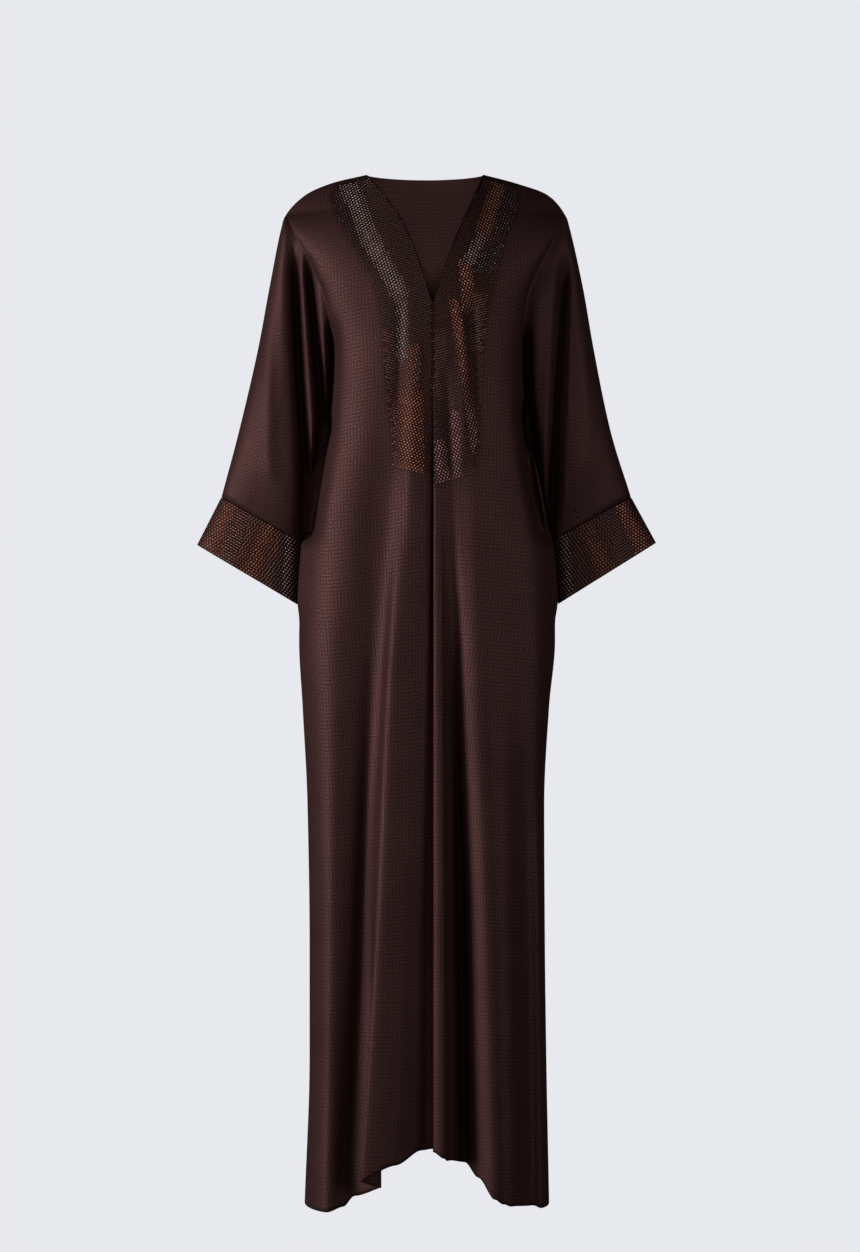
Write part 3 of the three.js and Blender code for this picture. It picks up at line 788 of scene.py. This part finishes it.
def jacquardGroup():
    # flat cloth coordinates in, figure mask and thread height out
    tree = bpy.data.node_groups.new("jacquardFigure", "ShaderNodeTree")
    face = tree.interface
    face.new_socket("Cloth", in_out="INPUT", socket_type="NodeSocketVector")
    face.new_socket("Repeat", in_out="INPUT", socket_type="NodeSocketFloat")
    face.new_socket("Thread", in_out="INPUT", socket_type="NodeSocketFloat")
    face.new_socket("Figure", in_out="OUTPUT", socket_type="NodeSocketFloat")
    face.new_socket("Height", in_out="OUTPUT", socket_type="NodeSocketFloat")
    enter = tree.nodes.new("NodeGroupInput")
    leave = tree.nodes.new("NodeGroupOutput")

    def maths(operation, *values):
        return wire(tree, "ShaderNodeMath", operation, values).outputs[0]

    split = wire(tree, "ShaderNodeSeparateXYZ", None, (enter.outputs["Cloth"],))
    u = maths("DIVIDE", split.outputs["X"], enter.outputs["Repeat"])
    v = maths("DIVIDE", split.outputs["Y"], enter.outputs["Repeat"])

    # short curled floats, one to a cell, each at its own angle
    across, down = maths("MULTIPLY", u, 2.0), maths("MULTIPLY", v, 2.0)
    column, line = maths("FLOOR", across), maths("FLOOR", down)
    cell = wire(tree, "ShaderNodeCombineXYZ", None, (column, line, 0.0))
    chance = wire(tree, "ShaderNodeTexWhiteNoise", None, (cell.outputs[0],), noise_dimensions="2D")
    angle = maths("MULTIPLY", chance.outputs["Value"], math.pi)
    cosine, sine = maths("COSINE", angle), maths("SINE", angle)
    x = maths("SUBTRACT", maths("SUBTRACT", across, column), 0.5)
    y = maths("SUBTRACT", maths("SUBTRACT", down, line), 0.5)
    along = maths("ADD", maths("MULTIPLY", x, cosine), maths("MULTIPLY", y, sine))
    aside = maths("SUBTRACT", maths("MULTIPLY", y, cosine), maths("MULTIPLY", x, sine))
    curl = maths("MULTIPLY", maths("SINE", maths("MULTIPLY", along, 6.5)), 0.13)
    slim = maths("LESS_THAN", maths("ABSOLUTE", maths("ADD", aside, curl)), 0.18)
    short = maths("LESS_THAN", maths("ABSOLUTE", along), 0.46)
    figure = maths("MULTIPLY", slim, short)
    tree.links.new(figure, leave.inputs["Figure"])
    # satin floats run along the warp on the ground, across it on the figure
    fine = maths("DIVIDE", split.outputs["X"], enter.outputs["Thread"])
    cross = maths("DIVIDE", split.outputs["Y"], enter.outputs["Thread"])
    warp = maths("SINE", maths("MULTIPLY", maths("ADD", fine, maths("MULTIPLY", cross, 0.2)), math.tau))
    weft = maths("SINE", maths("MULTIPLY", cross, math.tau))
    picked = wire(tree, "ShaderNodeMix", None, data_type="FLOAT")
    tree.links.new(figure, picked.inputs["Factor"])
    tree.links.new(warp, picked.inputs[2])
    tree.links.new(weft, picked.inputs[3])
    height = maths("ADD", maths("MULTIPLY", picked.outputs[0], 0.35), maths("MULTIPLY", figure, -1.0))
    tree.links.new(height, leave.inputs["Height"])
    return tree


def satinMaterial(name, tint=1.0, shadedUnderStuds=False):
    mat = bpy.data.materials.new(name)
    mat.use_nodes = True
    tree = mat.node_tree
    shader = tree.nodes["Principled BSDF"]
    place = tree.nodes.new("ShaderNodeUVMap")
    figured = tree.nodes.new("ShaderNodeGroup")
    figured.node_tree = bpy.data.node_groups["jacquardFigure"]
    figured.inputs["Repeat"].default_value = satin["repeat"]
    figured.inputs["Thread"].default_value = satin["weave"]
    tree.links.new(place.outputs["UV"], figured.inputs["Cloth"])
    # broad unevenness in the dye
    space = tree.nodes.new("ShaderNodeTexCoord")
    uneven = tree.nodes.new("ShaderNodeTexNoise")
    uneven.inputs["Scale"].default_value = 9.0
    uneven.inputs["Detail"].default_value = 3.0
    tree.links.new(space.outputs["Object"], uneven.inputs["Vector"])
    shade = wire(tree, "ShaderNodeMapRange", None, (uneven.outputs["Fac"], 0.3, 0.7, 0.9, 1.1))
    colour = wire(tree, "ShaderNodeMix", None, data_type="RGBA")
    tree.links.new(figured.outputs["Figure"], colour.inputs["Factor"])
    colour.inputs[6].default_value = [c * tint for c in satin["ground"][:3]] + [1.0]
    colour.inputs[7].default_value = [c * tint for c in satin["figure"][:3]] + [1.0]
    toned = wire(tree, "ShaderNodeVectorMath", "SCALE", (colour.outputs[2],))
    tree.links.new(shade.outputs[0], toned.inputs["Scale"])
    tree.links.new(toned.outputs[0], shader.inputs["Base Color"])
    if shadedUnderStuds:
        # painted shade: the cloth is darker under the studs, standing in for the shade between them
        studShade = wire(tree, "ShaderNodeAttribute", attribute_name="studShade")
        dark = wire(tree, "ShaderNodeMapRange", None, (studShade.outputs["Fac"], 0.0, 1.0, 1.0, satin["studShade"]))
        under = wire(tree, "ShaderNodeMath", "MULTIPLY", (shade.outputs[0], dark.outputs[0]))
        tree.links.new(under.outputs[0], toned.inputs["Scale"])
    rough = wire(tree, "ShaderNodeMix", None, data_type="FLOAT")
    rough.inputs[2].default_value = satin["groundRough"]
    rough.inputs[3].default_value = satin["figureRough"]
    tree.links.new(figured.outputs["Figure"], rough.inputs["Factor"])
    tree.links.new(rough.outputs[0], shader.inputs["Roughness"])
    bump = tree.nodes.new("ShaderNodeBump")
    bump.inputs["Strength"].default_value = satin["bump"]
    bump.inputs["Distance"].default_value = 0.00012
    tree.links.new(figured.outputs["Height"], bump.inputs["Height"])
    tree.links.new(bump.outputs["Normal"], shader.inputs["Normal"])
    shader.inputs["Metallic"].default_value = satin["lustre"]
    shader.inputs["Specular Tint"].default_value = satin["edgeTint"]
    shader.inputs["Specular IOR Level"].default_value = satin["specular"]
    return mat


jacquardGroup()
bodySatin = satinMaterial("chocolateSatin")
# the bib's satin is darkened under the studs as painted shade
bibSatin = satinMaterial("chocolateSatinWithBib", 1.0, True)
# the cuffs' satin is darkened to 0.55 all over, painted shade between their studs
cuffSatin = satinMaterial("cuffSatin", 0.55)

pieces = {}
for side in ("left", "right"):
    pieces["front_" + side] = makeFront(side)
    pieces["cuff_" + side] = makeCuff(side)
pieces["back"] = makeBack()
for node, piece in pieces.items():
    cuff = node.startswith("cuff")
    piece.data.materials.append(cuffSatin if cuff else bodySatin if node == "back" else bibSatin)
    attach(piece, "root")
    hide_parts(node)
inner = bpy.data.collections.new("litThroughTheNeck")
inner.objects.link(pieces["back"])
bpy.data.objects["neckLight"].light_linking.receiver_collection = inner
print("cloth: fronts, back and cuffs")

# Studs. Bands of bright round studs run down each half, with slim dull dashes on both sides.
# Plain numbers from bibReach down are millimetres on the cut.
studs = {
    "across": 4.5 * mm,
    "down": 3.6 * mm,
    "roundRadius": 1.50 * mm,
    "dashLong": 2.40 * mm,
    "dashThin": 0.55 * mm,
    "high": 0.85 * mm,
    "sink": 0.08 * mm,
    "jitter": 0.14 * mm,
    "flatTop": 0.3,  # share of a stud's radius
    "rowSlope": 0.30,
    "seed": 11,
    "bibReach": 140.0,
    "above": 14.0,  # first row, over the neck point
    "neckInset": 2.4,
    "topInset": 8.0,
    "ragged": 4.0,  # width of the outer edge that has lost some of its studs
    "raggedShare": 0.4,
    "wideTop": 150.0,  # drop to which small dots stand outside the bands
}
# outer edge of the studded bib: drop, left x, right x
bibTable = (
    (20, -132, 124), (35, -139, 128), (88, -117, 114), (137, -93, 99), (175, -74, 91), (218, -64, 82),
    (266, -61, 77), (327, -58, 74), (373, -50, 73), (432, -48, 66),
)
bibFoot = {"left": 436, "right": 447}  # drop of the lowest row at its inner end
# side, top x, top drop, foot x, foot drop, half width, copper share, brightness
bands = (
    ("left", -113, 16, -80, 104, 15, 0.10, 1.0),
    ("left", -80, 104, -40, 178, 15, 0.10, 1.0),
    ("left", -37, 178, -35, 268, 9, 0.05, 0.85),
    ("left", -19, 262, -24, 330, 11, 0.85, 0.75),
    ("left", -24, 330, -24, 440, 19, 1.0, 1.0),
    ("right", 101, 14, 78, 96, 12, 0.85, 0.85),
    ("right", 78, 96, 58, 132, 10, 0.20, 0.9),
    ("right", 52, 140, 57, 200, 10, 0.85, 0.9),
    ("right", 37, 196, 52, 290, 8, 0.90, 1.0),
    ("right", 52, 290, 66, 400, 7, 0.70, 0.8),
    ("right", 16, 395, 22, 450, 10, 0.45, 1.0),
    ("right", 38, 350, 42, 450, 7, 0.55, 1.0),
)
studShadeEdge = 16.0  # mm over which the painted shade under the studs fades out


def markStudShade(side):
    # 1 inside the studded bib, 0 outside it: where the cloth takes painted shade between the studs
    mesh = pieces["front_" + side].data
    outward = -1.0 if side == "left" else 1.0
    studShade = mesh.attributes.new("studShade", "FLOAT", "POINT")
    for vert in mesh.vertices:
        x, drop = vert.co.x / mm, -vert.co.z / mm
        edge = fromTable(bibTable, side, drop)
        foot = bibFoot[side] - studs["rowSlope"] * abs(x - cut["centreX"])
        inside = min((edge - x) * outward, foot - drop, drop + shoulderHeight(x) - 6.0)
        studShade.data[vert.index].value = ease(inside / studShadeEdge + 0.5)


for side in ("left", "right"):
    markStudShade(side)
# dashes of another colour: side, x from, to, drop from, to, copper share, brightness
copperDashes = (
    ("left", -62, -44, 235, 330, 0.75, 0.75),
    ("left", -62, -40, 330, 436, 0.55, 0.65),
    ("right", 58, 84, 180, 262, 0.55, 0.75),
    ("right", 8, 26, 230, 330, 0.55, 0.60),
)


def bandAt(side, x, drop):
    # signed distance to the nearest band in its half widths, its copper share and its brightness
    best = (9.0, 0.2, 0.5)
    for on, topX, top, footX, foot, wide, copper, toneAndPaintedLight in bands:
        if on != side:
            continue
        t = min(max((drop - top) / (foot - top), 0.0), 1.0)
        away = math.hypot(x - mix(topX, footX, t), max(top - drop, drop - foot, 0.0)) / wide
        if away < abs(best[0]):
            best = (math.copysign(away, x - mix(topX, footX, t)), copper, toneAndPaintedLight)
    return best


def studMatrix(place, normal, along, long, thin, high):
    up = normal.normalized()
    right = (along - up * along.dot(up)).normalized()
    third = up.cross(right)
    axes = Matrix((right * long, third * thin, up * high)).transposed().to_4x4()
    return Matrix.Translation(place - up * studs["sink"]) @ axes


def strew(name, spots, top):
    # spots: matrix, copper share, brightness, which on the cuffs holds painted light and painted shade.
    # Joined in handfuls, which keeps each bmesh small.
    whole = bmesh.new()
    for key in ("copper", "toneAndPaintedLight"):
        whole.verts.layers.float.new(key)
    for start in range(0, len(spots), 300):
        handful = bmesh.new()
        tone = handful.verts.layers.float.new("copper")
        brightness = handful.verts.layers.float.new("toneAndPaintedLight")
        for matrix, copper, toneAndPaintedLight in spots[start:start + 300]:
            made = bmesh.ops.create_cone(handful, cap_ends=True, cap_tris=False, segments=6,
                                         radius1=1.0, radius2=top, depth=1.0,
                                         matrix=matrix @ Matrix.Translation((0, 0, 0.5)))
            for vert in made["verts"]:
                vert[tone] = copper
                vert[brightness] = toneAndPaintedLight
        mesh = bpy.data.meshes.new("handful")
        handful.to_mesh(mesh)
        handful.free()
        whole.from_mesh(mesh)
        bpy.data.meshes.remove(mesh)
    mesh = bpy.data.meshes.new(name)
    whole.to_mesh(mesh)
    whole.free()
    return addObject(name, mesh)


def surfaceTree(obj):
    mesh = obj.data
    return BVHTree.FromPolygons([v.co for v in mesh.vertices], [p.vertices for p in mesh.polygons])


def roundStud(hit, normal, away, copper, toneAndPaintedLight, dice):
    size = studs["roundRadius"] * mix(1.0, 0.86, abs(away)) * dice.uniform(0.88, 1.08)
    turn = dice.uniform(0, 1.0)
    along = Vector((math.cos(turn), 0, math.sin(turn)))
    # a band fades towards its edges, and its colour varies from dot to dot
    fade = mix(1.0, 0.6, min(abs(away), 1.0) ** 2)
    return (studMatrix(hit, normal, along, size, size, studs["high"]),
            min(max(copper + dice.uniform(-0.2, 0.15), 0.0), 1.0), toneAndPaintedLight * fade * dice.uniform(0.7, 1.0))


def dashStud(hit, normal, turn, copper, toneAndPaintedLight, dice):
    turn += dice.uniform(-0.06, 0.06)
    along = Vector((math.cos(turn), 0, math.sin(turn)))
    long = studs["dashLong"] * dice.uniform(0.85, 1.05)
    return (studMatrix(hit, normal, along, long, studs["dashThin"], studs["high"] * 0.6), copper,
            toneAndPaintedLight * dice.uniform(0.7, 1.0))


def castOn(tree, origin, direction):
    hit, normal, _, _ = tree.ray_cast(origin, direction)
    if hit is None:
        return None, None
    return hit, (-normal if normal.dot(direction) > 0 else normal)


def bibStuds(side):
    tree = surfaceTree(pieces["front_" + side])
    dice = random.Random(studs["seed"] + (side == "left"))
    outward = -1.0 if side == "left" else 1.0
    step, slope, fall = studs["across"] / mm, studs["rowSlope"], studs["down"] / mm
    # each row is set over so that neighbouring studs stay equally far apart
    setOver = (step * (0.5 + 0.5 * slope * slope) + slope * fall) / (1.0 + slope * slope)
    spots = []
    for row in range(int((bibFoot[side] + studs["above"]) / fall) + 1):
        start = row * fall - studs["above"]
        along = (row * setOver) % step - 14.0 * step
        while along < studs["bibReach"]:
            x = cut["centreX"] + outward * along
            drop = start - slope * along
            along += step
            inner = fromTable(neckTable, side, drop) + outward * studs["neckInset"]
            if (x - inner) * outward < 0 or drop < studs["topInset"]:
                continue
            room = (fromTable(bibTable, side, drop) - x) * outward
            if room < 0 or drop < 9.0 - shoulderHeight(x):
                continue
            if room < studs["ragged"] and dice.random() < studs["raggedShare"]:
                continue
            away, copper, toneAndPaintedLight = bandAt(side, x, drop)
            place = Vector((x * mm + dice.uniform(-1, 1) * studs["jitter"], -0.6,
                            -drop * mm + dice.uniform(-1, 1) * studs["jitter"]))
            hit, normal = castOn(tree, place, Vector((0, 1, 0)))
            if hit is None:
                continue
            if abs(away) < 1.0:
                spots.append(roundStud(hit, normal, away, copper, toneAndPaintedLight, dice))
                continue
            copper, toneAndPaintedLight = 0.42 + 0.40 * copper, 0.36
            for on, x0, x1, d0, d1, tint, brightness in copperDashes:
                if on == side and x0 < x < x1 and d0 < drop < d1:
                    copper, toneAndPaintedLight = tint, brightness
            if drop < studs["wideTop"] and away * outward > 0:
                spots.append(roundStud(hit, normal, 2.2, 0.12, 0.50, dice))
            else:
                turn = outward * math.atan(slope)
                spots.append(dashStud(hit, normal, turn, copper, toneAndPaintedLight, dice))
    print("studs on the", side, "bib:", len(spots))
    return strew("bib_studs_" + side, spots, studs["flatTop"])


# bands on a cuff: share across from the outer end at the seam and at the mouth, half width,
# copper share, brightness
cuffBands = (
    (0.15, 0.11, 0.10, 0.9, 1.0),
    (0.60, 0.52, 0.10, 0.9, 0.9),
    (0.86, 0.90, 0.06, 0.15, 1.0),
)
cuffDash = {
    "left": 1.0,  # how bright the dashes between the bands are; the left cuff's are brighter, painted light falling from the left
    "right": 0.62,
    "spine": 0.38,  # share across at which they change their lean
    "outerLean": 0.28,
    "innerLean": -0.95,
    "shadedPewterFrom": 0.74,  # share across past which they are pewter, and darker as painted shade at the cuff's inner end by the body
}


def cuffStuds(side):
    tree = surfaceTree(pieces["cuff_" + side])
    dice = random.Random(studs["seed"] + 5 + (side == "left"))
    corner = cuffCorners[side]
    end = overArm[side][-1]
    seam = (Vector((end[0], 0, end[1])), Vector((corner[0], 0, -corner[1])))
    mouth = (Vector((corner[2], 0, -corner[3])), Vector((corner[4], 0, -corner[5])))
    rows = int((mouth[0] - seam[0]).length * mm / studs["down"]) - 1
    spots = []
    for face in (-1.0, 1.0):
        for j in range(rows):
            t = (j + 0.8) / (rows + 0.6)
            outer, inner = seam[0].lerp(mouth[0], t), seam[1].lerp(mouth[1], t)
            count = int((inner - outer).length * mm / studs["across"])
            for k in range(count):
                share = (k + 0.5 + 0.5 * (j % 2)) / count
                if not 0.012 < share < 0.985:
                    continue
                spot = outer.lerp(inner, share) * mm
                away, copper, toneAndPaintedLight = 9.0, 0.2, 0.5
                for atSeam, atMouth, wide, tint, brightness in cuffBands:
                    gap = (share - mix(atSeam, atMouth, t)) / wide
                    if abs(gap) < abs(away):
                        away, copper, toneAndPaintedLight = gap, tint, brightness
                place = Vector((spot.x + dice.uniform(-1, 1) * studs["jitter"], face * 0.3,
                                spot.z + dice.uniform(-1, 1) * studs["jitter"]))
                hit, normal = castOn(tree, place, Vector((0, -face, 0)))
                if hit is None:
                    continue
                if abs(away) < 1.0:
                    spots.append(roundStud(hit, normal, away, copper, toneAndPaintedLight, dice))
                    continue
                # dashes lean towards the middle of the cuff, as barbs on a feather
                lean = cuffDash["outerLean" if share < cuffDash["spine"] else "innerLean"]
                turn = lean if side == "right" else -lean
                near = max(0.0, 1.6 - abs(away)) / 0.6
                if share < cuffDash["shadedPewterFrom"]:
                    # painted light: the left cuff's dashes are brighter, lit from the left
                    copper, toneAndPaintedLight = mix(0.55, 0.85, min(near, 1.0)), cuffDash[side]
                else:
                    # pewter, darkened as painted shade at the inner end by the body
                    copper, toneAndPaintedLight = 0.25, 0.5
                spots.append(dashStud(hit, normal, turn, copper, toneAndPaintedLight, dice))
    print("studs on the", side, "cuff:", len(spots))
    return strew("cuff_studs_" + side, spots, studs["flatTop"])


studLook = {
    "pewter": (1.00, 0.74, 0.68, 1.0),
    "copper": (1.00, 0.31, 0.15, 1.0),
    "rough": 0.26,
    "metallic": 0.12,
}


def studMaterial():
    mat = bpy.data.materials.new("copperAndPewter")
    mat.use_nodes = True
    tree = mat.node_tree
    shader = tree.nodes["Principled BSDF"]
    tone = wire(tree, "ShaderNodeAttribute", attribute_name="copper")
    brightness = wire(tree, "ShaderNodeAttribute", attribute_name="toneAndPaintedLight")
    colour = wire(tree, "ShaderNodeMix", data_type="RGBA")
    colour.inputs[6].default_value = studLook["pewter"]
    colour.inputs[7].default_value = studLook["copper"]
    tree.links.new(tone.outputs["Fac"], colour.inputs["Factor"])
    # each stud's base colour is scaled by its brightness; on the cuffs this holds painted light and
    # painted shade
    shaded = wire(tree, "ShaderNodeVectorMath", "SCALE", (colour.outputs[2],))
    tree.links.new(brightness.outputs["Fac"], shaded.inputs["Scale"])
    tree.links.new(shaded.outputs[0], shader.inputs["Base Color"])
    shader.inputs["Metallic"].default_value = studLook["metallic"]
    shader.inputs["Roughness"].default_value = studLook["rough"]
    return mat


studMetal = studMaterial()
for side in ("left", "right"):
    for made in (bibStuds(side), cuffStuds(side)):
        made.data.materials.append(studMetal)
        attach(made, "root")
print("studs laid on bib and cuffs")

# Stitching, in thread of the cloth's own colour
stitches = {
    "long": 1.1 * mm,  # half length
    "thin": 0.28 * mm,
    "high": 0.34 * mm,
    "flatTop": 0.7,
    "step": 3.4 * mm,
    "cuffInset": 0.07,  # share of the cuff's depth below its seam
    "hemInset": 0.27,  # skirt rows above the hem
    "hemStep": 6.0 * mm,
    "colour": (0.050, 0.024, 0.023, 1.0),
    "rough": 0.6,
}


def stitchLine(line, tree, step):
    # a stitch at every step along a line of points, laid on the cloth under it
    spots = []
    left = step / 2.0
    for a, b in zip(line, line[1:]):
        length = (b - a).length
        while left < length:
            hit, normal, _, gap = tree.find_nearest(a.lerp(b, left / length))
            if hit is not None and gap < 4.0 * mm:
                spots.append((studMatrix(hit, normal, b - a, stitches["long"], stitches["thin"],
                                         stitches["high"]), 0.0, 1.0))
            left += step
        left -= length
    return spots


def hemLine(face, guides):
    row = upperRows + cut["skirtRows"] - stitches["hemInset"]
    last = len(guides) - 1
    return [bodyPoint(face, guides, last * k / 900.0, row) for k in range(6, 895)]


def cuffLine(side):
    corner, end = cuffCorners[side], overArm[side][-1]
    t = stitches["cuffInset"]
    outer = Vector((end[0], 0, end[1])).lerp(Vector((corner[2], 0, -corner[3])), t)
    inner = Vector((corner[0], 0, -corner[1])).lerp(Vector((corner[4], 0, -corner[5])), t)
    line = []
    for k in range(241):
        angle = math.tau * k / 240.0
        point = outer.lerp(inner, (1.0 - math.cos(angle)) / 2.0)
        depth = cut["cuffHalfDepth"] * roundOff(math.cos(angle), cut["cuffRound"])
        point.y = -math.copysign(depth, math.sin(angle))
        line.append(point * mm)
    return line


threadMatt = bpy.data.materials.new("brownThread")
threadMatt.use_nodes = True
threadShader = threadMatt.node_tree.nodes["Principled BSDF"]
threadShader.inputs["Base Color"].default_value = stitches["colour"]
threadShader.inputs["Roughness"].default_value = stitches["rough"]
sewn = []
for side, guides in (("left", leftGuides), ("right", rightGuides)):
    sewn += stitchLine(hemLine("front", guides), surfaceTree(pieces["front_" + side]), stitches["hemStep"])
    sewn += stitchLine(cuffLine(side), surfaceTree(pieces["cuff_" + side]), stitches["step"])
sewn += stitchLine(hemLine("back", backGuides), surfaceTree(pieces["back"]), stitches["hemStep"])
seams = strew("stitching", sewn, stitches["flatTop"])
seams.data.materials.append(threadMatt)
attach(seams, "root")
print("stitches:", len(sewn))
